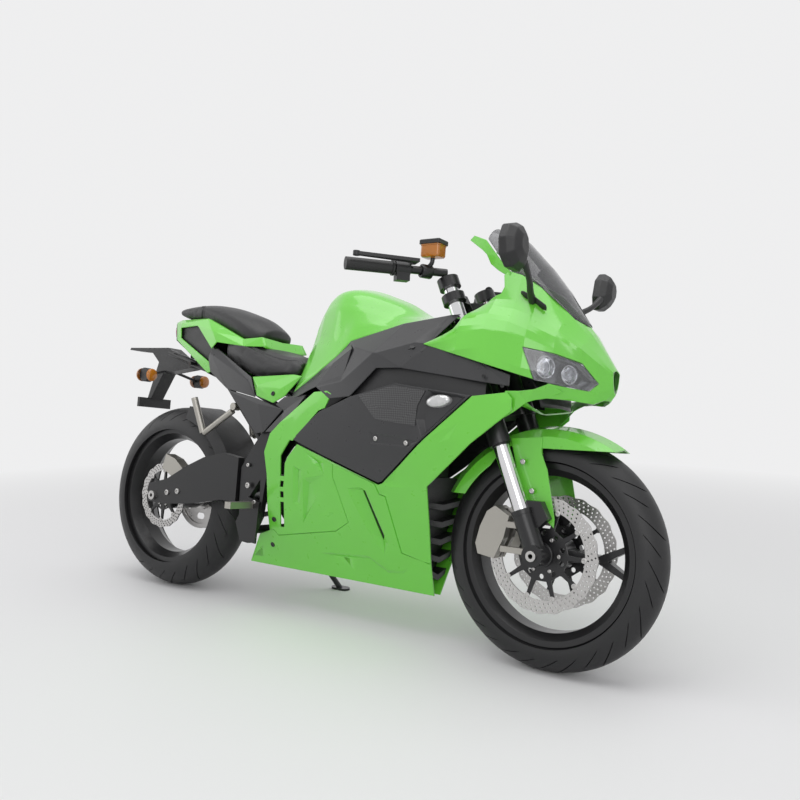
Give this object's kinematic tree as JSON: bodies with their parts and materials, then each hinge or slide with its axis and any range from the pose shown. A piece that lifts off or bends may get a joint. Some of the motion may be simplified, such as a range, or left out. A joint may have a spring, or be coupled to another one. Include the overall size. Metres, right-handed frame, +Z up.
{
  "type": "electric sport motorcycle",
  "caption": "Fully faired electric sport motorcycle in green and dark grey, parked on its side stand, with turning wheels, steering and a folding stand",
  "frame": {"origin": "bottom centre of the bounding box, on the floor under the parked machine", "axes": "+X forward, +Y to the rider's left, +Z up; the machine leans to +Y on its side stand"},
  "size_m": [2.0228, 0.7002, 1.1349],
  "materials": {
    "green_paint": "gloss",
    "graphite_panel": "satin",
    "black_plastic": "matte",
    "black_metal": "satin",
    "chrome": "polished",
    "steel": "brushed",
    "cast_silver": "satin",
    "tyre": "matte",
    "rubber": "matte",
    "seat_vinyl": "satin",
    "smoked_screen": "gloss",
    "clear_lens": "gloss",
    "amber_lens": "gloss"
  },
  "bodies": {
    "chassis": {"chain": "steel", "main_frame": "black_metal", "swingarm": "black_metal", "rear_axle": "steel", "motor": "black_metal", "battery_case": "black_metal", "rear_shock": "black_metal", "rear_hugger": "black_plastic", "rear_caliper": "cast_silver", "subframe": "black_metal", "footrest_hangers": "black_metal", "rider_footpegs": "cast_silver", "passenger_footrests": "cast_silver", "lower_fairings": "green_paint", "side_panels_lower": "graphite_panel", "side_panels_upper": "graphite_panel", "tank_cover": "green_paint", "rider_seat": "seat_vinyl", "pillion_seat": "seat_vinyl", "tail_fairing": "green_paint", "seat_side_covers": "graphite_panel", "tail_bracket": "black_plastic", "rear_turn_signals": "black_plastic", "upper_cowl": "green_paint", "windscreen": "smoked_screen", "headlights": "clear_lens", "headlight_unit": "black_plastic", "fairing_bracket": "black_metal", "instrument_panel": "black_plastic", "fairing_stays": "black_metal", "tank_stays": "black_metal", "tail_stays": "black_metal", "front_turn_signals": "clear_lens", "mirrors": "black_plastic", "belly_louvre": "black_plastic"},
    "front_end": {"front_axle": "steel", "fork_tubes": "chrome", "fork_lowers": "black_metal", "lower_clamp": "black_metal", "upper_clamp": "black_metal", "handlebars": "black_metal", "grips": "rubber", "hand_controls": "black_plastic", "brake_reservoir": "amber_lens", "reservoir_cap": "black_plastic", "front_calipers": "cast_silver", "front_fender": "green_paint"},
    "front_wheel": {"front_tyre": "tyre", "front_rim": "black_metal", "front_brake_discs": "steel"},
    "rear_wheel": {"rear_tyre": "tyre", "rear_rim": "black_metal", "rear_brake_disc": "steel", "rear_sprocket": "steel"},
    "side_stand": {"side_stand": "black_metal"}
  },
  "joints": [
    {"name": "steering", "type": "hinge", "parent": "chassis", "child": "front_end", "pos_m": [0.52445, -0.04865, 0.63538], "axis": [-0.4066, 0.1192, 0.9058], "range_deg": [-27, 27]},
    {"name": "front_wheel_spin", "type": "hinge", "parent": "front_end", "child": "front_wheel", "pos_m": [0.71847, -0.09399, 0.29097], "axis": [0, 0.9914, -0.1305], "continuous": true},
    {"name": "rear_wheel_spin", "type": "hinge", "parent": "chassis", "child": "rear_wheel", "pos_m": [-0.68153, -0.09229, 0.30401], "axis": [0, 0.9914, -0.1305], "continuous": true},
    {"name": "side_stand", "type": "hinge", "parent": "chassis", "child": "side_stand", "pos_m": [-0.25154, 0.03487, 0.21259], "axis": [0.0434, 0.8909, 0.4521], "range_deg": [0, 102]}
  ]
}
